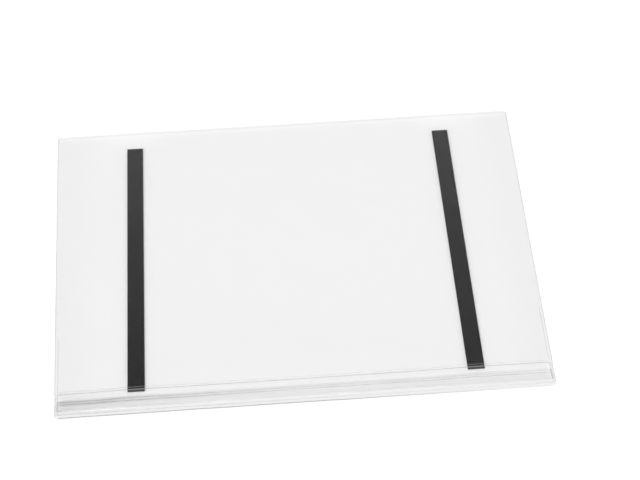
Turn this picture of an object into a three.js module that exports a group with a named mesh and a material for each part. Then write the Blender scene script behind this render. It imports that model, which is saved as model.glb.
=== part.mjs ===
// A clear film pocket for documents laid sideways, held to steel by two magnetic strips.
//
// Two films are welded together along the left, right and far edges. Along the near edge, the
// mouth, each film is lap-welded to a zip tape: the back tape carries a groove and the front tape
// a bead that presses into it. The magnetic strips are stuck under the back film. The pocket lies
// face up and empty on a table, so the soft films rest on it and rise over each strip.
//
// Millimetres, +Z up. X runs along the width and Y from the mouth to the far edge. The origin is
// the middle of the pocket, at the table.

import * as THREE from 'three';

// Pocket
const POCKET_WIDTH = 315;
const POCKET_DEPTH = 236;
const CORNER_RADIUS = 2.5;
const FILM_THICKNESS = 0.25;
const POCKET_GAP = 0.5;
const SEAM_WIDTH = 1.8;
const SEAM_SPREAD = 3;

// Magnetic strips, with the left one stuck on slightly askew
const STRIP_WIDTH = 10.8;
const STRIP_THICKNESS = 1;
const STRIP_FAR_MARGIN = 15;
const STRIP_NEAR_MARGIN = 16.6;
const LEFT_STRIP_INSET = 52.4;
const RIGHT_STRIP_INSET = 48.8;
const LEFT_STRIP_LEAN_DEGREES = 0.66;
const ADHESIVE_THICKNESS = 0.125;
const ADHESIVE_MARGIN = 0.25;

// How the films rise over a strip: flat for a short way past its edge, then down to the table.
// The heavy zip pulls them down sooner at the mouth.
const FILM_HOLD = 0.5;
const LIFT_LENGTH = 28;
const MOUTH_LIFT_LENGTH = 12;

// Zip tapes, with depths measured from the back lip
const TAPE_DEPTH = 19.4;
const WELD_LAP = 1.7;
const FRONT_LIP_STEP = 2.1;
const LIP_GAP = 0.25;
const LIP_DROP = 2.7;
const LAP_GAP = 0.7;
const FLANGE_SPREAD = 5;
const ZIP_BASE_START = 5.5;
const ZIP_BASE_WIDTH = 7.1;
const ZIP_BASE_RISE = 0.15;
const GROOVE_CENTRE = 10.45;
const GROOVE_WIDTH = 1.5;
const GROOVE_DEPTH = 0.5;
const GROOVE_WALL = 0.4;
const GROOVE_HOOK = 0.25;
const HOOK_RISE = 0.25;
const BEAD_CLEARANCE = 0.1;
const BEAD_RISE = 0.3;
const WALL_CLEARANCE = 0.35;
const ZIP_END_MARGIN = 0.3;

// Facets: where the skin of a curved solid gets its corners
const LIFT_SHARES = [0, 0.25, 0.5, 0.75, 1];
const CORNER_DEGREES = [0, 30, 60];
const CLOSEST_STATIONS = 0.3;

// Finishes
const FILM_COLOUR = 0xf1f4f5;
const FILM_OPACITY = 0.25;
const TAPE_COLOUR = 0xeef1f3;
const TAPE_OPACITY = 0.4;
const CLEAR_ROUGHNESS = 0.12;
const MAGNET_COLOUR = 0x2e2d2e;
const MAGNET_ROUGHNESS = 0.55;
const ADHESIVE_COLOUR = 0xeeece6;
const ADHESIVE_OPACITY = 0.2;

// Sizes that follow from those above
const HALF_WIDTH = POCKET_WIDTH / 2;
const HALF_DEPTH = POCKET_DEPTH / 2;
const HALF_FILM = FILM_THICKNESS / 2;
const FILM_START = TAPE_DEPTH - WELD_LAP;
const STRIP_RISE = STRIP_THICKNESS + ADHESIVE_THICKNESS;
const STRIP_LENGTH = POCKET_DEPTH - STRIP_FAR_MARGIN - STRIP_NEAR_MARGIN;
const STRIP_MIDDLE = STRIP_NEAR_MARGIN + STRIP_LENGTH / 2;
const ZIP_BASE_END = ZIP_BASE_START + ZIP_BASE_WIDTH;
const GROOVE_TOP = ZIP_BASE_RISE + GROOVE_DEPTH + HOOK_RISE;
const ZIP_GAP = GROOVE_TOP + WALL_CLEARANCE + ZIP_BASE_RISE;
const ZIP_HALF_LENGTH = HALF_WIDTH - SEAM_WIDTH - SEAM_SPREAD - ZIP_END_MARGIN;

const STRIPS = [
  { side: 'left', x: LEFT_STRIP_INSET - HALF_WIDTH, lean: LEFT_STRIP_LEAN_DEGREES },
  { side: 'right', x: HALF_WIDTH - RIGHT_STRIP_INSET, lean: 0 },
];

// The shape of the lying pocket

// Share of a strip's height that the film keeps at a distance past the strip's edge. A soft film
// that hangs from a step and settles on the table falls along this curve.
function liftBeyond(distance, length) {
  const fallen = THREE.MathUtils.clamp((distance - FILM_HOLD) / length, 0, 1);
  const held = 1 - fallen;
  return held ** 3 * (4 - 3 * held);
}

function stripCentre(strip, depth) {
  return strip.x + Math.tan(THREE.MathUtils.degToRad(strip.lean)) * (depth - STRIP_MIDDLE);
}

// Height of the pocket's underside over the table
function undersideHeight(x, depth) {
  let height = 0;
  for (const strip of STRIPS) {
    const across = Math.abs(x - stripCentre(strip, depth)) - STRIP_WIDTH / 2;
    const along = Math.abs(depth - STRIP_MIDDLE) - STRIP_LENGTH / 2;
    const endLength = depth < STRIP_MIDDLE ? MOUTH_LIFT_LENGTH : LIFT_LENGTH;
    height += STRIP_RISE * liftBeyond(across, LIFT_LENGTH) * liftBeyond(along, endLength);
  }
  return height;
}

// Gap between the front and the back, away from the seams: widest over the closed zip. The soft
// front lip drops from the zip's base onto the back lip.
function gapAt(depth) {
  const stops = [
    [0, LIP_GAP],
    [ZIP_BASE_START - LIP_DROP, LIP_GAP],
    [ZIP_BASE_START, ZIP_GAP],
    [ZIP_BASE_END, ZIP_GAP],
    [FILM_START, LAP_GAP],
    [TAPE_DEPTH + FLANGE_SPREAD, POCKET_GAP],
    [POCKET_DEPTH, POCKET_GAP],
  ];
  const next = stops.findIndex(([stop]) => stop >= depth);
  if (next < 1) return stops[0][1];
  const [start, startGap] = stops[next - 1];
  const [end, endGap] = stops[next];
  return THREE.MathUtils.mapLinear(depth, start, end, startGap, endGap);
}

// 0 on the welded seams and 1 where the front and the back have parted fully
function parting(x, depth) {
  const fromEdge = Math.min(HALF_WIDTH - Math.abs(x), POCKET_DEPTH - depth);
  return THREE.MathUtils.clamp((fromEdge - SEAM_WIDTH) / SEAM_SPREAD, 0, 1);
}

// How far the rounded corners pull the side edges in
function cornerInset(depth) {
  const intoCorner = CORNER_RADIUS - Math.min(depth, POCKET_DEPTH - depth);
  if (intoCorner <= 0) return 0;
  return CORNER_RADIUS - Math.sqrt(CORNER_RADIUS ** 2 - intoCorner ** 2);
}

// Carries a point of the flat pocket to its place. Near a side edge it follows the rounded
// corners, and near a leaning strip it follows the lean.
function placeAcross(x, depth) {
  const edgeReach = SEAM_WIDTH + SEAM_SPREAD;
  const edgeShare = Math.max(0, 1 - (HALF_WIDTH - Math.abs(x)) / edgeReach);
  let placed = x - Math.sign(x) * cornerInset(depth) * edgeShare;
  for (const strip of STRIPS) {
    const beyond = Math.abs(x - strip.x) - STRIP_WIDTH / 2 - FILM_HOLD;
    const share = 1 - THREE.MathUtils.clamp(beyond / LIFT_LENGTH, 0, 1);
    placed += share * (stripCentre(strip, depth) - strip.x);
  }
  return placed;
}

function placeBack(x, depth, level) {
  const placed = placeAcross(x, depth);
  const height = undersideHeight(placed, depth) + level;
  return [placed, depth - HALF_DEPTH, height];
}

function placeFront(x, depth, level) {
  const placed = placeAcross(x, depth);
  const inner = FILM_THICKNESS + gapAt(depth) * parting(x, depth);
  const height = undersideHeight(placed, depth) + inner + level;
  return [placed, depth - HALF_DEPTH, height];
}

// Solids that follow that shape

// Sorted positions: every one that a block needs, and of the others those that keep clear of it
function stations(needed, wanted, start, end) {
  const kept = [...new Set(needed)];
  for (const value of wanted) {
    const inside = value > start && value < end;
    const clear = kept.every((other) => Math.abs(other - value) > CLOSEST_STATIONS);
    if (inside && clear) kept.push(value);
  }
  return kept.sort((a, b) => a - b);
}

function columnStops() {
  const seamEnd = HALF_WIDTH - SEAM_WIDTH;
  const stops = [-seamEnd, seamEnd, SEAM_SPREAD - seamEnd, seamEnd - SEAM_SPREAD];
  for (const strip of STRIPS) {
    for (const share of LIFT_SHARES) {
      const reach = STRIP_WIDTH / 2 + FILM_HOLD + LIFT_LENGTH * share;
      stops.push(strip.x - reach, strip.x + reach);
    }
  }
  return stops;
}

function rowStops() {
  const flatReach = STRIP_LENGTH / 2 + FILM_HOLD;
  const stops = [
    ZIP_BASE_START - LIP_DROP,
    ZIP_BASE_START,
    ZIP_BASE_END,
    STRIP_MIDDLE - flatReach,
    TAPE_DEPTH + FLANGE_SPREAD,
    STRIP_MIDDLE + flatReach,
    POCKET_DEPTH - SEAM_WIDTH,
    POCKET_DEPTH - SEAM_WIDTH - SEAM_SPREAD,
  ];
  for (const degrees of CORNER_DEGREES) {
    const corner = CORNER_RADIUS * (1 - Math.sin(THREE.MathUtils.degToRad(degrees)));
    stops.push(corner, POCKET_DEPTH - corner);
  }
  return stops;
}

// A closed skin around the cells that lie in one of the blocks. Each block is a box of the flat
// pocket: x across, depth from the mouth, level from the film's own lower face.
function layBlocks(blocks, place) {
  const bounds = (key) => blocks.flatMap((block) => block[key]);
  const across = bounds('x');
  const along = bounds('depth');
  const grid = [
    stations(across, columnStops(), Math.min(...across), Math.max(...across)),
    stations(along, rowStops(), Math.min(...along), Math.max(...along)),
    stations(bounds('level'), [], 0, 0),
  ];

  const within = ([low, high], value) => low < value && value < high;
  const filled = (cell) => {
    const outside = (index, axis) => index < 0 || index >= grid[axis].length - 1;
    if (cell.some(outside)) return false;
    const middle = (index, axis) => (grid[axis][index] + grid[axis][index + 1]) / 2;
    const [x, depth, level] = cell.map(middle);
    return blocks.some((block) => (
      within(block.x, x) && within(block.depth, depth) && within(block.level, level)
    ));
  };

  const positions = [];
  const corners = new Map();
  const cornerAt = (corner) => {
    const key = corner.join();
    if (!corners.has(key)) {
      corners.set(key, positions.length / 3);
      positions.push(...place(...corner.map((index, axis) => grid[axis][index])));
    }
    return corners.get(key);
  };

  const triangles = [];
  const addFace = (cell, axis, side) => {
    const second = (axis + 1) % 3;
    const third = (axis + 2) % 3;
    const quad = [[0, 0], [1, 0], [1, 1], [0, 1]].map(([stepSecond, stepThird]) => {
      const corner = [...cell];
      corner[axis] += side;
      corner[second] += stepSecond;
      corner[third] += stepThird;
      return cornerAt(corner);
    });
    if (side === 1) triangles.push(quad[0], quad[1], quad[2], quad[0], quad[2], quad[3]);
    else triangles.push(quad[0], quad[2], quad[1], quad[0], quad[3], quad[2]);
  };

  for (let column = 0; column < grid[0].length - 1; column++) {
    for (let row = 0; row < grid[1].length - 1; row++) {
      for (let layer = 0; layer < grid[2].length - 1; layer++) {
        const cell = [column, row, layer];
        if (!filled(cell)) continue;
        for (const axis of [0, 1, 2]) {
          for (const side of [0, 1]) {
            const neighbour = [...cell];
            neighbour[axis] += side === 1 ? 1 : -1;
            if (!filled(neighbour)) addFace(cell, axis, side);
          }
        }
      }
    }
  }

  const geometry = new THREE.BufferGeometry();
  geometry.setAttribute('position', new THREE.Float32BufferAttribute(positions, 3));
  geometry.setIndex(triangles);
  geometry.computeVertexNormals();
  return geometry;
}

// Films: full thickness, with half of it left for the lap on the zip tape

const FULL_WIDTH = [-HALF_WIDTH, HALF_WIDTH];
const LOWER_HALF = [0, HALF_FILM];
const UPPER_HALF = [HALF_FILM, FILM_THICKNESS];

function filmBlocks(lapLevel) {
  return [
    { x: FULL_WIDTH, depth: [TAPE_DEPTH, POCKET_DEPTH], level: LOWER_HALF },
    { x: FULL_WIDTH, depth: [TAPE_DEPTH, POCKET_DEPTH], level: UPPER_HALF },
    { x: FULL_WIDTH, depth: [FILM_START, TAPE_DEPTH], level: lapLevel },
  ];
}

// Zip tapes: a flange as thick as the film, a thicker base and the closing profile

function flangeBlocks(lipDepth, lapLevel) {
  return [
    { x: FULL_WIDTH, depth: [lipDepth, FILM_START], level: LOWER_HALF },
    { x: FULL_WIDTH, depth: [lipDepth, FILM_START], level: UPPER_HALF },
    { x: FULL_WIDTH, depth: [FILM_START, TAPE_DEPTH], level: lapLevel },
  ];
}

const ZIP_LENGTH = [-ZIP_HALF_LENGTH, ZIP_HALF_LENGTH];

function zipBlock(depth, level) {
  return { x: ZIP_LENGTH, depth, level };
}

function grooveBlocks() {
  const floor = FILM_THICKNESS + ZIP_BASE_RISE;
  const hookStart = floor + GROOVE_DEPTH;
  const wallTop = hookStart + HOOK_RISE;
  const near = GROOVE_CENTRE - GROOVE_WIDTH / 2;
  const far = GROOVE_CENTRE + GROOVE_WIDTH / 2;
  return [
    zipBlock([ZIP_BASE_START, ZIP_BASE_END], [FILM_THICKNESS, floor]),
    zipBlock([near - GROOVE_WALL, near], [floor, wallTop]),
    zipBlock([near, near + GROOVE_HOOK], [hookStart, wallTop]),
    zipBlock([far, far + GROOVE_WALL], [floor, wallTop]),
    zipBlock([far - GROOVE_HOOK, far], [hookStart, wallTop]),
  ];
}

// The bead hangs from the front tape, so its levels run below that tape's inner face
function beadBlocks() {
  const headHalf = GROOVE_WIDTH / 2 - BEAD_CLEARANCE;
  const stemHalf = GROOVE_WIDTH / 2 - GROOVE_HOOK - BEAD_CLEARANCE;
  const headBottom = ZIP_BASE_RISE + BEAD_CLEARANCE - ZIP_GAP;
  const headTop = headBottom + BEAD_RISE;
  return [
    zipBlock([ZIP_BASE_START, ZIP_BASE_END], [-ZIP_BASE_RISE, 0]),
    zipBlock([GROOVE_CENTRE - stemHalf, GROOVE_CENTRE + stemHalf], [headTop, -ZIP_BASE_RISE]),
    zipBlock([GROOVE_CENTRE - headHalf, GROOVE_CENTRE + headHalf], [headBottom, headTop]),
  ];
}

// Materials

function clearPlastic(colour, opacity) {
  return new THREE.MeshStandardMaterial({
    color: colour,
    roughness: CLEAR_ROUGHNESS,
    metalness: 0,
    transparent: true,
    opacity,
  });
}

function namedMesh(name, geometry, material) {
  const mesh = new THREE.Mesh(geometry, material);
  mesh.name = name;
  return mesh;
}

// Pieces

const pocket = new THREE.Group();

const backFilm = layBlocks(filmBlocks(LOWER_HALF), placeBack);
pocket.add(namedMesh('back_film', backFilm, clearPlastic(FILM_COLOUR, FILM_OPACITY)));

const frontFilm = layBlocks(filmBlocks(UPPER_HALF), placeFront);
pocket.add(namedMesh('front_film', frontFilm, clearPlastic(FILM_COLOUR, FILM_OPACITY)));

const backTape = layBlocks([...flangeBlocks(0, UPPER_HALF), ...grooveBlocks()], placeBack);
pocket.add(namedMesh('back_zip_tape', backTape, clearPlastic(TAPE_COLOUR, TAPE_OPACITY)));

const frontTape = layBlocks([...flangeBlocks(FRONT_LIP_STEP, LOWER_HALF), ...beadBlocks()], placeFront);
pocket.add(namedMesh('front_zip_tape', frontTape, clearPlastic(TAPE_COLOUR, TAPE_OPACITY)));

for (const strip of STRIPS) {
  const seat = new THREE.Group();
  seat.position.set(strip.x, STRIP_MIDDLE - HALF_DEPTH, 0);
  seat.rotation.z = -THREE.MathUtils.degToRad(strip.lean);

  const magnet = namedMesh(
    `${strip.side}_magnet_strip`,
    new THREE.BoxGeometry(STRIP_WIDTH, STRIP_LENGTH, STRIP_THICKNESS),
    new THREE.MeshStandardMaterial({ color: MAGNET_COLOUR, roughness: MAGNET_ROUGHNESS, metalness: 0 }),
  );
  magnet.position.z = STRIP_THICKNESS / 2;
  seat.add(magnet);

  const adhesiveWidth = STRIP_WIDTH - 2 * ADHESIVE_MARGIN;
  const adhesiveLength = STRIP_LENGTH - 2 * ADHESIVE_MARGIN;
  const adhesive = namedMesh(
    `${strip.side}_adhesive_tape`,
    new THREE.BoxGeometry(adhesiveWidth, adhesiveLength, ADHESIVE_THICKNESS),
    clearPlastic(ADHESIVE_COLOUR, ADHESIVE_OPACITY),
  );
  adhesive.position.z = STRIP_THICKNESS + ADHESIVE_THICKNESS / 2;
  seat.add(adhesive);

  pocket.add(seat);
}

export default pocket;
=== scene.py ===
"""A clear document pocket with two black magnetic strips, empty, lying face up on a white table."""

import math

import bmesh
import bpy
from mathutils import Matrix, Vector


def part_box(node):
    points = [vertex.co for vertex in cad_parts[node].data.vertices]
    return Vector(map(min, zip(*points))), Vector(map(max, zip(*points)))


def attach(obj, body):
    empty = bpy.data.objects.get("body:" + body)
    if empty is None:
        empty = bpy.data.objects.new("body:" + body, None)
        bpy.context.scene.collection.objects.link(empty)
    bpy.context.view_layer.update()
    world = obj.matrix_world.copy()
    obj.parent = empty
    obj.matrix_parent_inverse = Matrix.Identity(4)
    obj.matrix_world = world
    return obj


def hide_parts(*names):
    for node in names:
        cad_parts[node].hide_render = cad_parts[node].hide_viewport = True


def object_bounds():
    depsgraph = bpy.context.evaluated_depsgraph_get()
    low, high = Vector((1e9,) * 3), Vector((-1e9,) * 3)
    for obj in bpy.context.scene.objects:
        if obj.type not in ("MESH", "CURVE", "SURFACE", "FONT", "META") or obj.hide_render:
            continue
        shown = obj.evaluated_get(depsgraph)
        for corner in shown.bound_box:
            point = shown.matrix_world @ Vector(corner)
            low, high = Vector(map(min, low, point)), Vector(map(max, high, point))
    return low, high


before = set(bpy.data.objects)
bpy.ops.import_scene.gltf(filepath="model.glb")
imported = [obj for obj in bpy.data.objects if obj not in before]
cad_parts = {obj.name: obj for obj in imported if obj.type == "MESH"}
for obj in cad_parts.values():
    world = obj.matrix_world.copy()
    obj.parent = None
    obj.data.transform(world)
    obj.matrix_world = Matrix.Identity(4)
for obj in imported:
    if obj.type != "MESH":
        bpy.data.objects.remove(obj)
CAD_LOW, CAD_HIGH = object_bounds()

# Sizes are in millimetres, and a mesh is turned to metres when it is finished. Depth is measured
# from the back lip of the mouth towards the far edge, and level from a film's own lower face.
MM = 0.001

# Pocket
HALF_WIDTH = CAD_HIGH.x / MM
HALF_DEPTH = CAD_HIGH.y / MM
POCKET_DEPTH = 2 * HALF_DEPTH
CORNER_RADIUS = 2.5
FILM_THICKNESS = 0.25
HALF_FILM = FILM_THICKNESS / 2
POCKET_GAP = 0.5

# Welded seams: a melted rim at the cut edge, the pressed land, and the ridge that the press leaves.
# The ridge is plain near the mouth, where the press bites hardest.
RIM_WIDTH = 0.28
SEAM_WIDTH = 1.8
RIDGE_WIDTH = 0.35
PLAIN_RIDGE_DEPTH = 62
SEAM_SPREAD = 3

# Magnetic strips, and how the films rise over them
STRIP_WIDTH = 10.8
STRIP_THICKNESS = 1
STRIP_EDGE_RADIUS = 0.12
ADHESIVE_THICKNESS = 0.125
ADHESIVE_MARGIN = 0.25
STRIP_RISE = STRIP_THICKNESS + ADHESIVE_THICKNESS
LEFT_LEAN = math.radians(0.66)
FILM_HOLD = 0.5
LIFT_LENGTH = 28
MOUTH_LIFT_LENGTH = 12

# Zip tapes
TAPE_DEPTH = 19.4
FILM_START = 17.7
LAP_STEP = 0.12
LAP_LINE_WIDTH = 0.3
FRONT_LIP = 2.1
LIP_GAP = 0.25
LIP_DROP = 2.7
ZIP_GAP = 1.4
BASE_START = 5.5
BASE_END = 12.6
LIP_EDGE = 0.45
LIP_BAND = 2.5
TAPE_INSET = 0.25
GROOVE_START = 8.85
GROOVE_END = 12.3
RIB_START = 11.65
WALL_TOP = 0.64
FLANGE_END = 24.4
LAP_GAP = 0.7
TAUT_SHARE = 0.8
CRUSHED_SHARE = 0.06
MARK_INSETS = (1.0, 2.2)

# Mesh spacing across the pocket and along it
COLUMN_STEP = 2.6
ROW_STEP = 3.0
CLOSEST_CUTS = 0.2


def read_strip(side, lean):
    low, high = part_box(f"{side}_magnet_strip")
    return {
        "side": side,
        "lean": lean,
        "x": (low.x + high.x) / 2 / MM,
        "depth": (low.y + high.y) / 2 / MM + HALF_DEPTH,
        "length": ((high.y - low.y) / MM - STRIP_WIDTH * math.sin(lean)) / math.cos(lean),
    }


STRIPS = [read_strip("left", LEFT_LEAN), read_strip("right", 0.0)]


# The shape of the lying pocket


def clamp(value, low=0.0, high=1.0):
    return min(max(value, low), high)


def smooth(value):
    value = clamp(value)
    return value * value * (3 - 2 * value)


def lift_beyond(distance, length=LIFT_LENGTH):
    """Share of a strip's height that the film keeps at a distance past the strip's edge."""
    held = 1 - clamp((distance - FILM_HOLD) / length)
    return held**3 * (4 - 3 * held)


def strip_centre(strip, depth):
    return strip["x"] + math.tan(strip["lean"]) * (depth - strip["depth"])


def strip_lift(x, depth):
    """Share of a strip's height under the pocket at this place. The heavy zip pulls it down."""
    share = 0.0
    for strip in STRIPS:
        across = abs(x - strip_centre(strip, depth)) - STRIP_WIDTH / 2
        along = abs(depth - strip["depth"]) - strip["length"] / 2
        length = MOUTH_LIFT_LENGTH if depth < strip["depth"] else LIFT_LENGTH
        share += lift_beyond(across) * lift_beyond(along, length)
    return share


def along_stops(stops, value):
    """Straight lines through the (place, height) stops."""
    for (start, low), (end, high) in zip(stops, stops[1:]):
        if value <= end:
            return low + (high - low) * clamp((value - start) / (end - start))
    return stops[-1][1]


GAP_STOPS = [
    (0, LIP_GAP),
    (BASE_START - LIP_DROP, LIP_GAP),
    (BASE_START, ZIP_GAP),
    (BASE_END, ZIP_GAP),
    (FILM_START, LAP_GAP),
    (FLANGE_END, POCKET_GAP),
    (POCKET_DEPTH, POCKET_GAP),
]


def parting(x, depth):
    """0 on the welded seams and 1 where the front and the back have parted fully."""
    from_side = clamp((HALF_WIDTH - abs(x) - SEAM_WIDTH) / SEAM_SPREAD)
    from_far = clamp((POCKET_DEPTH - depth - SEAM_WIDTH) / SEAM_SPREAD)
    return min(from_side, from_far)


def lip_wave(x, depth):
    """The soft lips of the mouth aren't quite flat: how far they stand off the table."""
    fade = 1 - smooth(depth / BASE_START)
    hump = clamp(1 - ((x + 50) / 120) ** 2)
    wave = 1 + 0.35 * math.sin(x / 11.3 + 2.1) + 0.2 * math.sin(x / 5.9)
    return fade * parting(x, depth) * (0.03 + 0.3 * hump) * wave


def ripple(x, depth):
    """The upper film's slack: a share taken off the gap, so that its shine isn't dead flat."""
    long_wave = math.sin(x / 31 + depth / 47) * math.sin(depth / 38 - x / 90 + 1.2)
    short_wave = math.sin(x / 13 - depth / 29 + 0.4) * math.sin(depth / 17 + 0.8)
    return 0.5 + 0.35 * long_wave + 0.15 * short_wave


def side_inset(depth):
    """How far a side edge lies inside the pocket's full width: the rounded corners, and the zip
    tape, which was cut a little short."""
    into_corner = CORNER_RADIUS - min(depth, POCKET_DEPTH - depth)
    corner = CORNER_RADIUS - math.sqrt(CORNER_RADIUS**2 - into_corner**2) if into_corner > 0 else 0
    tape = TAPE_INSET * smooth((18.4 - depth) / 1.5) * smooth((depth - 8) / 3)
    return corner + tape


def place_across(x, depth):
    edge_share = clamp(1 - (HALF_WIDTH - abs(x)) / (SEAM_WIDTH + SEAM_SPREAD))
    placed = x - math.copysign(side_inset(depth) * edge_share, x)
    for strip in STRIPS:
        beyond = abs(x - strip["x"]) - STRIP_WIDTH / 2 - FILM_HOLD
        placed += (1 - clamp(beyond / LIFT_LENGTH)) * (strip_centre(strip, depth) - strip["x"])
    return placed


def lay_back(x, depth, level):
    placed = place_across(x, depth)
    height = STRIP_RISE * strip_lift(placed, depth) + lip_wave(placed, depth)
    return placed, depth - HALF_DEPTH, height + level


def lay_front(x, depth, level):
    placed = place_across(x, depth)
    slack = 0.45 * ripple(placed, depth) * smooth((depth - TAPE_DEPTH) / 20)
    taut = TAUT_SHARE * strip_lift(placed, depth) * smooth((depth - BASE_END) / 5)
    gap = along_stops(GAP_STOPS, depth) * (1 - slack) * (1 - taut) * parting(x, depth)
    lip = lip_wave(placed + 9, depth - FRONT_LIP)
    height = STRIP_RISE * strip_lift(placed, depth) + FILM_THICKNESS + gap + lip
    return placed, depth - HALF_DEPTH, height + level


# Mesh helpers


def stations(start, end, step, needed=()):
    """Cuts between start and end: the needed ones, and even ones that keep clear of them."""
    kept = [value for value in needed if start < value < end]
    count = max(1, round((end - start) / step))
    even = [start + (end - start) * i / count for i in range(1, count)]
    clear = [v for v in even if all(abs(v - other) > CLOSEST_CUTS for other in kept)]
    return sorted(kept + clear)


def cut(bm, places, normal):
    """Cuts the whole mesh at each place along the normal."""
    for place in places:
        bmesh.ops.bisect_plane(
            bm,
            geom=bm.verts[:] + bm.edges[:] + bm.faces[:],
            dist=1e-5,
            plane_co=Vector(normal) * place,
            plane_no=normal,
        )


def moved_verts(result):
    return [item for item in result["geom"] if isinstance(item, bmesh.types.BMVert)]


def drape(bm, lay):
    for vert in bm.verts:
        vert.co = lay(*vert.co)


def finish_mesh(bm, name, materials, replaced, sharp_degrees=28):
    """Turns a mesh in millimetres into a piece of the pocket."""
    bmesh.ops.recalc_face_normals(bm, faces=bm.faces)
    bmesh.ops.scale(bm, vec=(MM, MM, MM), verts=bm.verts)
    for face in bm.faces:
        face.smooth = True
    for edge in bm.edges:
        edge.smooth = edge.calc_face_angle(math.pi) < math.radians(sharp_degrees)
    mesh = bpy.data.meshes.new(name)
    bm.to_mesh(mesh)
    bm.free()
    for material in materials:
        mesh.materials.append(material)
    piece = bpy.data.objects.new(name, mesh)
    bpy.context.scene.collection.objects.link(piece)
    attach(piece, "root")
    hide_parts(replaced)
    return piece


SEAM_LINES = [RIM_WIDTH, SEAM_WIDTH, SEAM_WIDTH + RIDGE_WIDTH, SEAM_WIDTH + SEAM_SPREAD]
SIDE_CUTS = [side * (HALF_WIDTH - inset) for side in (-1, 1) for inset in SEAM_LINES]
STRIP_CUTS = [
    strip["x"] + side * (STRIP_WIDTH / 2 + FILM_HOLD) for strip in STRIPS for side in (-1, 1)
]

# Material slots of every clear piece
BODY, LAND, SEAM_LINE, RIM, FUSED, LAP_OUTER, LAP_INNER = range(7)
BASE, WALL, LIP, MARK, BASE_EDGE, LIP_ZONE, RIB = range(7, 14)


def seam_finish(x, depth):
    """The finish that a place has from its distance to the welded outline, or None inside it."""
    from_side = HALF_WIDTH - abs(x)
    if from_side < RIM_WIDTH:
        return RIM
    if min(from_side, POCKET_DEPTH - depth) < SEAM_WIDTH:
        return LAND
    if from_side < SEAM_WIDTH + RIDGE_WIDTH and depth < PLAIN_RIDGE_DEPTH:
        return SEAM_LINE
    return None


def inner_face(face, faces_up):
    """True for a face that looks at the other film. The back film's inner side looks up."""
    return face.normal.z > 0.5 if faces_up else face.normal.z < -0.5


# Films


def flat_film(inner_up):
    """A film cut to size, with half its thickness taken off one side for the lap on the tape."""
    bm = bmesh.new()
    outline = [(-1, FILM_START), (1, FILM_START), (1, POCKET_DEPTH), (-1, POCKET_DEPTH)]
    bm.faces.new([bm.verts.new((side * HALF_WIDTH, depth, 0)) for side, depth in outline])
    lap_rows = [
        TAPE_DEPTH - LAP_STEP, TAPE_DEPTH, TAPE_DEPTH + LAP_LINE_WIDTH, TAPE_DEPTH + 1.4,
    ]
    corner_rows = [POCKET_DEPTH - CORNER_RADIUS * (1 - math.sin(a * math.pi / 12)) for a in range(5)]
    seam_rows = [POCKET_DEPTH - inset for inset in SEAM_LINES]
    cut(bm, stations(-HALF_WIDTH, HALF_WIDTH, COLUMN_STEP, SIDE_CUTS + STRIP_CUTS), (1, 0, 0))
    rows = sorted(set(lap_rows + seam_rows + corner_rows + [FLANGE_END, PLAIN_RIDGE_DEPTH]))
    cut(bm, stations(FILM_START, POCKET_DEPTH, ROW_STEP, rows), (0, 1, 0))
    raised = moved_verts(bmesh.ops.extrude_face_region(bm, geom=bm.faces[:]))
    bmesh.ops.translate(bm, vec=(0, 0, FILM_THICKNESS), verts=raised)
    bmesh.ops.recalc_face_normals(bm, faces=bm.faces)
    for face in bm.faces:
        face.material_index = film_finish(face, inner_up)
    for vert in bm.verts:
        if vert.co.y < TAPE_DEPTH - LAP_STEP / 2 and (vert.co.z > HALF_FILM) == inner_up:
            vert.co.z = HALF_FILM
    return bm


def film_finish(face, inner_up):
    x, depth, _ = face.calc_center_median()
    inner = inner_face(face, inner_up)
    if abs(face.normal.z) < 0.5:
        on_lap = depth < FILM_START + RIM_WIDTH and abs(face.normal.y) > 0.5
        return LAP_OUTER if on_lap else LAND
    seam = seam_finish(x, depth)
    if inner and (depth < TAPE_DEPTH - LAP_STEP or seam in (RIM, LAND)):
        return FUSED
    if seam is not None:
        return seam
    on_tape_end = TAPE_DEPTH - LAP_STEP < depth < TAPE_DEPTH + LAP_LINE_WIDTH
    return LAP_INNER if on_tape_end and inner else BODY


# Zip tapes


def tape_from_section(section):
    """An extruded tape: the section's (depth, level) points pulled along the whole width."""
    bm = bmesh.new()
    face = bm.faces.new([bm.verts.new((-HALF_WIDTH, depth, level)) for depth, level in section])
    pulled = moved_verts(bmesh.ops.extrude_face_region(bm, geom=[face]))
    bmesh.ops.translate(bm, vec=(2 * HALF_WIDTH, 0, 0), verts=pulled)
    marks = [side * (HALF_WIDTH - inset) for side in (-1, 1) for inset in MARK_INSETS]
    cut(bm, stations(-HALF_WIDTH, HALF_WIDTH, COLUMN_STEP, SIDE_CUTS + STRIP_CUTS + marks), (1, 0, 0))
    bmesh.ops.recalc_face_normals(bm, faces=bm.faces)
    return bm


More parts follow.
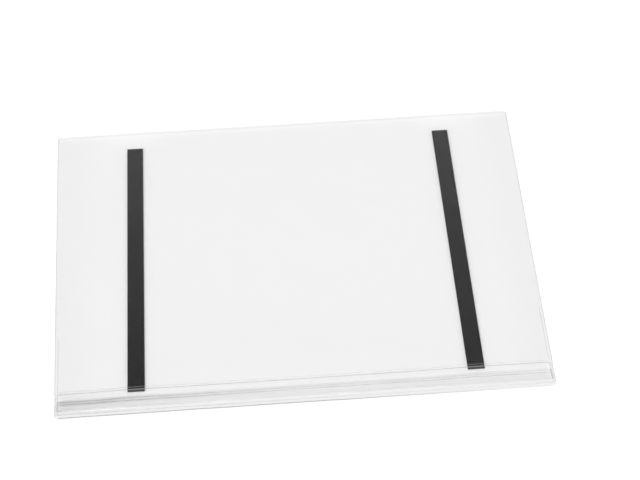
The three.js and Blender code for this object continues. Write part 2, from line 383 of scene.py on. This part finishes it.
BACK_SECTION = [
    (0, 0), (LIP_EDGE, 0), (1, 0), (1.7, 0), (2.5, 0), (5.5, 0), (9, 0), (12.6, 0), (13, 0),
    (FILM_START - LAP_STEP, 0), (FILM_START, HALF_FILM), (TAPE_DEPTH - LAP_STEP, HALF_FILM),
    (TAPE_DEPTH - LAP_STEP, FILM_THICKNESS), (FILM_START, FILM_THICKNESS), (12.9, 0.25), (12.6, 0.4),
    (11.6, 0.4), (11.6, 1.15), (10.95, 1.15), (10.95, 0.9), (11.2, 0.9), (11.2, 0.4),
    (9.7, 0.4), (9.7, 0.9), (9.95, 0.9), (9.95, 1.15), (9.3, 1.15), (9.3, 0.4),
    (8.9, 0.4), (5.5, 0.4), (5.2, 0.25), (2.5, 0.25), (1.7, 0.25), (1, 0.25), (LIP_EDGE, 0.25), (0, 0.25),
]
FRONT_SECTION = [
    (FRONT_LIP, 0), (FRONT_LIP + LIP_EDGE, 0), (2.8, 0), (4, 0), (5.2, 0), (5.5, -0.15),
    (10.05, -0.15), (10.05, -0.85), (9.8, -0.85),
    (9.8, -1.15), (11.1, -1.15), (11.1, -0.85), (10.85, -0.85), (10.85, -0.15), (12.6, -0.15),
    (12.9, 0), (FILM_START, 0), (TAPE_DEPTH - LAP_STEP, 0), (TAPE_DEPTH - LAP_STEP, HALF_FILM),
    (FILM_START, HALF_FILM), (FILM_START - LAP_STEP, FILM_THICKNESS),
    (FILM_START - LAP_STEP - LAP_LINE_WIDTH, FILM_THICKNESS), (13, 0.25), (12.6, 0.25),
    (9, 0.25), (5.5, 0.25), (5.2, 0.25), (4, 0.25), (2.8, 0.25), (FRONT_LIP + LIP_EDGE, 0.25),
    (FRONT_LIP, FILM_THICKNESS),
]


def tape_finish(face, inner_up, lip):
    x, depth, level = face.calc_center_median()
    outer = level < 0.01 if inner_up else level > FILM_THICKNESS - 0.01
    past = level - FILM_THICKNESS if inner_up else -level
    seam = seam_finish(x, depth)
    if seam in (RIM, LAND) and not outer:
        return FUSED
    if BASE_START < depth < BASE_END and MARK_INSETS[0] < HALF_WIDTH - abs(x) < MARK_INSETS[1]:
        return MARK
    if depth < lip + LIP_EDGE:
        return LIP
    if seam in (RIM, LAND):
        return seam
    if depth < LIP_BAND:
        return LIP_ZONE
    if BASE_START - 0.3 < depth < BASE_START and past > 0.01:
        return BASE_EDGE
    if depth > FILM_START - LAP_STEP - LAP_LINE_WIDTH and not inner_face(face, inner_up):
        return LAP_OUTER if depth < FILM_START else FUSED
    if past > 0.01 and RIB_START < depth < BASE_END and not inner_up:
        return RIB
    if GROOVE_START < depth < GROOVE_END and 0.01 < past < WALL_TOP:
        return WALL
    if seam is not None:
        return seam
    return BASE if BASE_START < depth < BASE_END else BODY


def flat_tape(section, inner_up, lip):
    """A tape with its finishes. At its ends the press flattens the zip as it flattens the gap."""
    bm = tape_from_section(section)
    for face in bm.faces:
        face.material_index = tape_finish(face, inner_up, lip)
    inner_level = FILM_THICKNESS if inner_up else 0
    for vert in bm.verts:
        past = vert.co.z - inner_level
        if (past > 0) == inner_up:
            kept = CRUSHED_SHARE + (1 - CRUSHED_SHARE) * parting(vert.co.x, vert.co.y)
            vert.co.z = inner_level + past * kept
    return bm


# Materials


def linear(code):
    """An sRGB hex colour as linear RGBA."""
    channels = [int(code[i : i + 2], 16) / 255 for i in (0, 2, 4)]
    return (*[c / 12.92 if c <= 0.04045 else ((c + 0.055) / 1.055) ** 2.4 for c in channels], 1.0)


def add_node(tree, kind, inputs=None, **settings):
    """Adds a node. Inputs are given by name or number, as values or as the sockets they come from."""
    made = tree.nodes.new(kind)
    for name, value in settings.items():
        setattr(made, name, value)
    for name, value in (inputs or {}).items():
        if isinstance(value, bpy.types.NodeSocket):
            tree.links.new(value, made.inputs[name])
        else:
            made.inputs[name].default_value = value
    return made


def new_material(name):
    material = bpy.data.materials.new(name)
    material.use_nodes = True
    material.node_tree.nodes.clear()
    return material, material.node_tree


# Soft PVC has about 1.53. This is lower, matched to how little the films mirror in the photograph.
PLASTIC_IOR = 1.47
# Share of the lamps' light that reaches what lies under the plastic unweakened. The rest is
# weakened by every face that it meets.
LAMP_SHARE = 0.8
# The darkest that a die line in an extruded tape gets
DRAWN_TONE = "E4E4E4"


def clear_plastic(
    name, passed, haze, roughness, bump_mm=0.0, bump_scale_mm=10, stretch=1, fade=None,
    ior=PLASTIC_IOR, drawn_share=0.0,
):
    """Thin clear plastic: light goes straight through, tinted a little, and each face mirrors
    more as it is met at a flatter angle. The haze is what the plastic scatters back, as white.
    A fade is (other colour, from mm, to mm, whether it goes from the middle to both sides).
    The drawn share is how much of DRAWN_TONE the lines along an extruded tape take on."""
    material, tree = new_material(name)
    place = add_node(tree, "ShaderNodeTexCoord")
    stretched = {"Vector": place.outputs["Object"], "Scale": (1 / stretch, 1, 1)}
    mapped = add_node(tree, "ShaderNodeMapping", stretched)
    waved = {"Vector": mapped.outputs[0], "Scale": 1 / (bump_scale_mm * MM), "Detail": 2.0}
    waves = add_node(tree, "ShaderNodeTexNoise", waved)
    bumped = {"Height": waves.outputs["Fac"], "Strength": 1.0, "Distance": bump_mm * MM}
    bump = add_node(tree, "ShaderNodeBump", bumped)

    # Light that leaves the plastic is mirrored as much as light that enters it at the same tilt
    side = add_node(tree, "ShaderNodeNewGeometry")
    sides = {0: side.outputs["Backfacing"], 2: ior, 3: 1 / ior}
    ior = add_node(tree, "ShaderNodeMix", sides, data_type="FLOAT")
    mirrored = add_node(tree, "ShaderNodeFresnel", {"IOR": ior.outputs[0], "Normal": bump.outputs[0]})

    other, start_mm, end_mm, both_sides = fade or (passed, 0, 1, False)
    through = add_node(tree, "ShaderNodeBsdfTransparent", {"Color": linear(passed)})
    if fade or drawn_share:
        across = add_node(tree, "ShaderNodeSeparateXYZ", {0: place.outputs["Object"]}).outputs["X"]
        if both_sides:
            across = add_node(tree, "ShaderNodeMath", {0: across}, operation="ABSOLUTE").outputs[0]
        reach = {"Value": across, "From Min": start_mm * MM, "From Max": end_mm * MM}
        share = add_node(tree, "ShaderNodeMapRange", reach)
        tints = {0: share.outputs[0], 6: linear(passed), 7: linear(other)}
        tint = add_node(tree, "ShaderNodeMix", tints, data_type="RGBA")
        spread = {"Value": waves.outputs["Fac"], "From Min": 0.35, "From Max": 0.65, "To Max": drawn_share}
        lined = add_node(tree, "ShaderNodeMapRange", spread)
        toned = {0: lined.outputs[0], 6: tint.outputs[2], 7: linear(DRAWN_TONE)}
        drawn = add_node(tree, "ShaderNodeMix", toned, data_type="RGBA", blend_type="MULTIPLY")
        tree.links.new(drawn.outputs[2], through.inputs["Color"])
    milky = add_node(tree, "ShaderNodeBsdfDiffuse", {"Color": linear("FFFFFF")})
    bodied = {0: haze, 1: through.outputs[0], 2: milky.outputs[0]}
    body = add_node(tree, "ShaderNodeMixShader", bodied)
    glossed = {"Roughness": roughness, "Normal": bump.outputs[0]}
    gloss = add_node(tree, "ShaderNodeBsdfGlossy", glossed)
    shining = {0: mirrored.outputs[0], 1: body.outputs[0], 2: gloss.outputs[0]}
    plastic = add_node(tree, "ShaderNodeMixShader", shining)

    path = add_node(tree, "ShaderNodeLightPath")
    lit = {0: path.outputs["Is Shadow Ray"], 1: path.outputs["Is Diffuse Ray"]}
    lighting = add_node(tree, "ShaderNodeMath", lit, operation="MAXIMUM")
    shared = {0: lighting.outputs[0], 1: LAMP_SHARE}
    unweakened = add_node(tree, "ShaderNodeMath", shared, operation="MULTIPLY")
    clear = add_node(tree, "ShaderNodeBsdfTransparent", {"Color": linear("FFFFFF")})
    seen = {0: unweakened.outputs[0], 1: plastic.outputs[0], 2: clear.outputs[0]}
    surface = add_node(tree, "ShaderNodeMixShader", seen)
    add_node(tree, "ShaderNodeOutputMaterial", {"Surface": surface.outputs[0]})
    return material


def fused_plastic():
    """Where two clear pieces are melted into each other there is no air, so nothing is mirrored."""
    material, tree = new_material("Fused weld between clear PVC")
    through = add_node(tree, "ShaderNodeBsdfTransparent", {"Color": linear("FFFFFF")})
    add_node(tree, "ShaderNodeOutputMaterial", {"Surface": through.outputs[0]})
    return material


# Calendered soft PVC film, die cut. Its tint is a little darker towards the side welds.
FILM = clear_plastic(
    "Clear soft PVC film", "FFFFFF", 0.001, 0.08, 0.02, 25, fade=("FEFEFE", 130, 160, True)
)
# The same film where the welding bar pressed its fine grain into it
SEAM = clear_plastic("Pressed land of a PVC weld", "FAFAFA", 0.005, 0.15, 0.01, 1.5)
TAPE_SEAM = clear_plastic("Pressed land of the PVC tapes", "F6F6F6", 0.005, 0.15, 0.01, 1.5)
RIDGE = clear_plastic("Pressed ridge of a PVC weld", "F9F9F9", 0.01, 0.2)
# Its darker tint paints the shade line that refraction gives a cut edge of clear plastic
CUT_EDGE_SHADE = clear_plastic("Cut edge of clear PVC, with a painted shade line", "E4E4E4", 0.02, 0.3)
# These darker tints are painted shade: the lines that refraction draws along the front film's edge on the
# tape, faintly along the back lap, and at the tape's end under the front film, that last one painted
# darker towards the left end
LAP_EDGE_SHADE_LINE = clear_plastic("Edge of a PVC lap weld, with a painted shade line", "959595", 0.4, 0.25)
LAP_BACK = clear_plastic("Flat edge of a PVC lap weld", "FAFAFA", 0.02, 0.2)
LAP_END_SHADE_LINE = clear_plastic(
    "End of a PVC lap weld, with a painted shade line", "E0E0E0", 0.17, 0.25, fade=("F4F4F4", -157, -20, False)
)
# Tape drawn through a die, which leaves fine lines along it
# Its fade paints shade: the tint is a little darker towards the left end of the mouth
TAPE = clear_plastic(
    "Clear extruded PVC tape", "FDFDFD", 0.003, 0.1, 0.02, 1.2, 150, ("FFFFFF", -157, -100, False),
    drawn_share=0.06,
)
TAPE_LIP = clear_plastic("Grip lip of the PVC tape", "FAFAFA", 0.003, 0.12, 0.02, 0.8, 40)
# Its fade paints shade: the tint is a little darker towards the left end of the mouth
TAPE_BASE = clear_plastic(
    "Thick base of the PVC zip", "FBFBFB", 0.003, 0.12, 0.02, 0.9, 150, ("FEFEFE", -157, -95, False),
    drawn_share=0.12,
)
# The shoulder, the ribbed base and the groove walls are tinted darker to paint the shade that refraction
# gives the zip's steep faces, and their fades paint it darker still towards the left end
BASE_SIDE = clear_plastic(
    "Shoulder of the PVC zip", "C8C8C8", 0.003, 0.15, 0.02, 0.6, 40, ("F0F0F0", -157, -60, False)
)
BASE_RIB = clear_plastic(
    "Ribbed half of the PVC zip's base", "F2F2F2", 0.003, 0.15, 0.02, 0.6, 150,
    ("FAFAFA", -157, 60, False), drawn_share=0.12,
)
ZIP_WALL = clear_plastic(
    "Groove walls of the PVC zip", "E9E9E9", 0.003, 0.15, 0.02, 0.6, 40, ("FDFDFD", -157, 0, False), 1.25
)
ZIP_BEAD = clear_plastic("Bead of the PVC zip", "FFFFFF", 0.003, 0.15, 0.02, 0.6, 40, ior=1.25)
# The cut lips are tinted darker to paint the shade line that refraction gives the tapes' cut edges at the
# mouth, and their fades paint it lighter towards the right end
BACK_LIP = clear_plastic(
    "Cut lip of the back tape", "D0D0D0", 0.02, 0.3, fade=("F6F6F6", 10, 130, False)
)
FRONT_LIP_EDGE = clear_plastic(
    "Cut lip of the front tape", "F6F6F6", 0.01, 0.3, fade=("FDFDFD", -50, 60, False)
)
CRUSHED = clear_plastic("Crushed end of the PVC zip", "EEEEEE", 0.03, 0.4, 0.05, 0.5)
# Clear acrylic layer, rolled on and pressed flat
ADHESIVE = clear_plastic("Clear acrylic adhesive", "FDFDFC", 0.004, 0.3, 0.01, 4)
WELD = fused_plastic()
BACK_FILM_FINISHES = [FILM, SEAM, RIDGE, CUT_EDGE_SHADE, WELD, LAP_BACK, LAP_BACK]
FRONT_FILM_FINISHES = [FILM, SEAM, RIDGE, CUT_EDGE_SHADE, WELD, LAP_EDGE_SHADE_LINE, LAP_END_SHADE_LINE]
BACK_TAPE_FINISHES = [
    TAPE, TAPE_SEAM, RIDGE, CUT_EDGE_SHADE, WELD, LAP_BACK, LAP_BACK,
    TAPE_BASE, ZIP_WALL, BACK_LIP, CRUSHED, BASE_SIDE, TAPE_LIP, TAPE_BASE,
]
FRONT_TAPE_FINISHES = [
    TAPE, TAPE_SEAM, RIDGE, CUT_EDGE_SHADE, WELD, LAP_EDGE_SHADE_LINE, LAP_END_SHADE_LINE,
    TAPE_BASE, ZIP_BEAD, FRONT_LIP_EDGE, CRUSHED, BASE_SIDE, TAPE, BASE_RIB,
]


def magnet_rubber(name, dark, pale):
    """Ferrite powder in synthetic rubber, rolled into sheet and slit. The powder leaves a fine
    speckle, and the rolls leave faint lines along the strip."""
    material, tree = new_material(name)
    place = add_node(tree, "ShaderNodeTexCoord").outputs["Object"]
    speckle = add_node(tree, "ShaderNodeTexNoise", {"Vector": place, "Scale": 1 / (0.35 * MM)})
    rolled = add_node(tree, "ShaderNodeMapping", {"Vector": place, "Scale": (1, 1 / 60, 1)})
    lined = {"Vector": rolled.outputs[0], "Scale": 1 / (0.9 * MM)}
    lines = add_node(tree, "ShaderNodeTexNoise", lined)
    mottled = {0: speckle.outputs["Fac"], 1: lines.outputs["Fac"]}
    mottle = add_node(tree, "ShaderNodeMath", mottled, operation="MULTIPLY")
    colours = {0: mottle.outputs[0], 6: linear(dark), 7: linear(pale)}
    colour = add_node(tree, "ShaderNodeMix", colours, data_type="RGBA")
    matt = {"Value": lines.outputs["Fac"], "To Min": 0.54, "To Max": 0.68}
    roughness = add_node(tree, "ShaderNodeMapRange", matt)
    grain = {"Height": mottle.outputs[0], "Strength": 1.0, "Distance": 0.012 * MM}
    bump = add_node(tree, "ShaderNodeBump", grain)
    skin = {
        "Base Color": colour.outputs[2],
        "Roughness": roughness.outputs[0],
        "Specular IOR Level": 0.15,
        "Normal": bump.outputs[0],
    }
    body = add_node(tree, "ShaderNodeBsdfPrincipled", skin)
    add_node(tree, "ShaderNodeOutputMaterial", {"Surface": body.outputs[0]})
    return material


# Both strips are the same rubber; the right strip's colours are painted a little lighter, as painted light
MAGNETS = {
    "left": magnet_rubber("Rubber-bonded ferrite sheet", "171617", "232223"),
    "right": magnet_rubber("Rubber-bonded ferrite sheet, painted lighter", "1E1D1E", "2A292A"),
}

# Pieces

back_film = flat_film(inner_up=True)
drape(back_film, lay_back)
finish_mesh(back_film, "back_film_sheet", BACK_FILM_FINISHES, "back_film")

front_film = flat_film(inner_up=False)
drape(front_film, lay_front)
finish_mesh(front_film, "front_film_sheet", FRONT_FILM_FINISHES, "front_film")

back_tape = flat_tape(BACK_SECTION, inner_up=True, lip=0)
drape(back_tape, lay_back)
finish_mesh(back_tape, "back_zip_tape_groove", BACK_TAPE_FINISHES, "back_zip_tape")

front_tape = flat_tape(FRONT_SECTION, inner_up=False, lip=FRONT_LIP)
drape(front_tape, lay_front)
finish_mesh(front_tape, "front_zip_tape_bead", FRONT_TAPE_FINISHES, "front_zip_tape")


def strip_body(strip, width, length, low, high, radius):
    """A flat bar under the back film, turned to the strip's lean, with its edges broken."""
    bm = bmesh.new()
    bmesh.ops.create_cube(bm, size=1)
    bmesh.ops.scale(bm, vec=(width, length, high - low), verts=bm.verts)
    bmesh.ops.bevel(
        bm, geom=bm.edges[:], offset=radius, offset_type="OFFSET", segments=3,
        profile=0.5, affect="EDGES", material=-1,
    )
    bmesh.ops.rotate(bm, cent=(0, 0, 0), matrix=Matrix.Rotation(-strip["lean"], 3, "Z"), verts=bm.verts)
    middle = (strip["x"], strip["depth"] - HALF_DEPTH, (low + high) / 2)
    bmesh.ops.translate(bm, vec=middle, verts=bm.verts)
    return bm


for strip in STRIPS:
    side = strip["side"]
    magnet = strip_body(strip, STRIP_WIDTH, strip["length"], 0, STRIP_THICKNESS, STRIP_EDGE_RADIUS)
    finish_mesh(magnet, f"{side}_magnet_bar", [MAGNETS[side]], f"{side}_magnet_strip")
    adhesive = strip_body(
        strip,
        STRIP_WIDTH - 2 * ADHESIVE_MARGIN,
        strip["length"] - 2 * ADHESIVE_MARGIN,
        STRIP_THICKNESS,
        STRIP_RISE,
        ADHESIVE_THICKNESS / 4,
    )
    finish_mesh(adhesive, f"{side}_adhesive_layer", [ADHESIVE], f"{side}_adhesive_tape")

# Camera, at the photograph's viewing angle

FOCAL_PIXELS = 1909.02
IMAGE_WIDTH_PIXELS = 640
SENSOR_WIDTH = 36
CAMERA_AZIMUTH = math.radians(3.7664)
CAMERA_ELEVATION = math.radians(50.8444)
CAMERA_ROLL = math.radians(-0.7379)
CAMERA_DISTANCE = 1.27548
CAMERA_TARGET = Vector((0.0181, 0.01179, 0))

look = Vector((
    math.sin(CAMERA_AZIMUTH) * math.cos(CAMERA_ELEVATION),
    math.cos(CAMERA_AZIMUTH) * math.cos(CAMERA_ELEVATION),
    -math.sin(CAMERA_ELEVATION),
))
right = look.cross(Vector((0, 0, 1))).normalized()
up = right.cross(look)
turned_right = right * math.cos(CAMERA_ROLL) + up * math.sin(CAMERA_ROLL)
turned_up = up * math.cos(CAMERA_ROLL) - right * math.sin(CAMERA_ROLL)

camera_data = bpy.data.cameras.new("camera")
camera_data.sensor_width = SENSOR_WIDTH
camera_data.lens = FOCAL_PIXELS * SENSOR_WIDTH / IMAGE_WIDTH_PIXELS
camera_data.clip_start = 0.01
camera_data.clip_end = 50
camera = bpy.data.objects.new("camera", camera_data)
turn = Matrix((turned_right, turned_up, -look)).transposed()
camera.matrix_world = Matrix.Translation(CAMERA_TARGET - look * CAMERA_DISTANCE) @ turn.to_4x4()
bpy.context.scene.collection.objects.link(camera)
bpy.context.scene.camera = camera

# Floor, world and light

FLOOR_SIZE = 12
FLOOR_DROP = 0.0001
floor_bm = bmesh.new()
bmesh.ops.create_grid(floor_bm, x_segments=1, y_segments=1, size=FLOOR_SIZE / 2)
bmesh.ops.translate(floor_bm, vec=(0, 0, -FLOOR_DROP), verts=floor_bm.verts)
floor_mesh = bpy.data.meshes.new("floor")
floor_bm.to_mesh(floor_mesh)
floor_bm.free()
floor = bpy.data.objects.new("floor", floor_mesh)
bpy.context.scene.collection.objects.link(floor)

floor_material, tree = new_material("White table")
path = add_node(tree, "ShaderNodeLightPath")
direct = {0: path.outputs["Is Camera Ray"], 1: path.outputs["Is Glossy Ray"]}
direct = add_node(tree, "ShaderNodeMath", direct, operation="MAXIMUM")
seen = {0: direct.outputs[0], 1: path.outputs["Is Transmission Ray"]}
seen = add_node(tree, "ShaderNodeMath", seen, operation="MAXIMUM")
colours = {0: seen.outputs[0], 6: linear("E6E6E6"), 7: linear("FFFFFF")}
colour = add_node(tree, "ShaderNodeMix", colours, data_type="RGBA")
surface = add_node(tree, "ShaderNodeBsdfDiffuse", {"Color": colour.outputs[2]})
add_node(tree, "ShaderNodeOutputMaterial", {"Surface": surface.outputs[0]})
floor_mesh.materials.append(floor_material)

# How bright the room is from low down to overhead, by the height of the direction
ROOM_TONES = [(0.58, 0.9), (0.737, 0.21), (0.79, 0.17), (0.83, 0.005)]

world = bpy.data.worlds.new("studio")
world.use_nodes = True
tree = world.node_tree
tree.nodes.clear()
direction = add_node(tree, "ShaderNodeTexCoord")
height = add_node(tree, "ShaderNodeSeparateXYZ", {0: direction.outputs["Generated"]})
ramp = add_node(tree, "ShaderNodeValToRGB", {0: height.outputs["Z"]})
for element, (position, level) in zip(ramp.color_ramp.elements, [ROOM_TONES[0], ROOM_TONES[-1]]):
    element.position = position
    element.color = (level, level, level, 1)
for position, level in ROOM_TONES[1:-1]:
    ramp.color_ramp.elements.new(position).color = (level, level, level, 1)
path = add_node(tree, "ShaderNodeLightPath")
tones = {0: path.outputs["Is Camera Ray"], 6: ramp.outputs[0], 7: linear("FFFFFF")}
shown = add_node(tree, "ShaderNodeMix", tones, data_type="RGBA")
background = add_node(tree, "ShaderNodeBackground", {"Color": shown.outputs[2], "Strength": 1.0})
add_node(tree, "ShaderNodeOutputWorld", {"Surface": background.outputs[0]})
bpy.context.scene.world = world

sun_data = bpy.data.lights.new("softbox", "SUN")
sun_data.energy = 2.25
sun_data.angle = math.radians(50)
sun = bpy.data.objects.new("softbox", sun_data)
sun.rotation_euler = (math.radians(28), math.radians(-15), 0)
bpy.context.scene.collection.objects.link(sun)

scene = bpy.context.scene
scene.view_settings.view_transform = "Standard"
# A flat look along the pocket passes many clear faces one behind the other
scene.cycles.transparent_max_bounces = 32
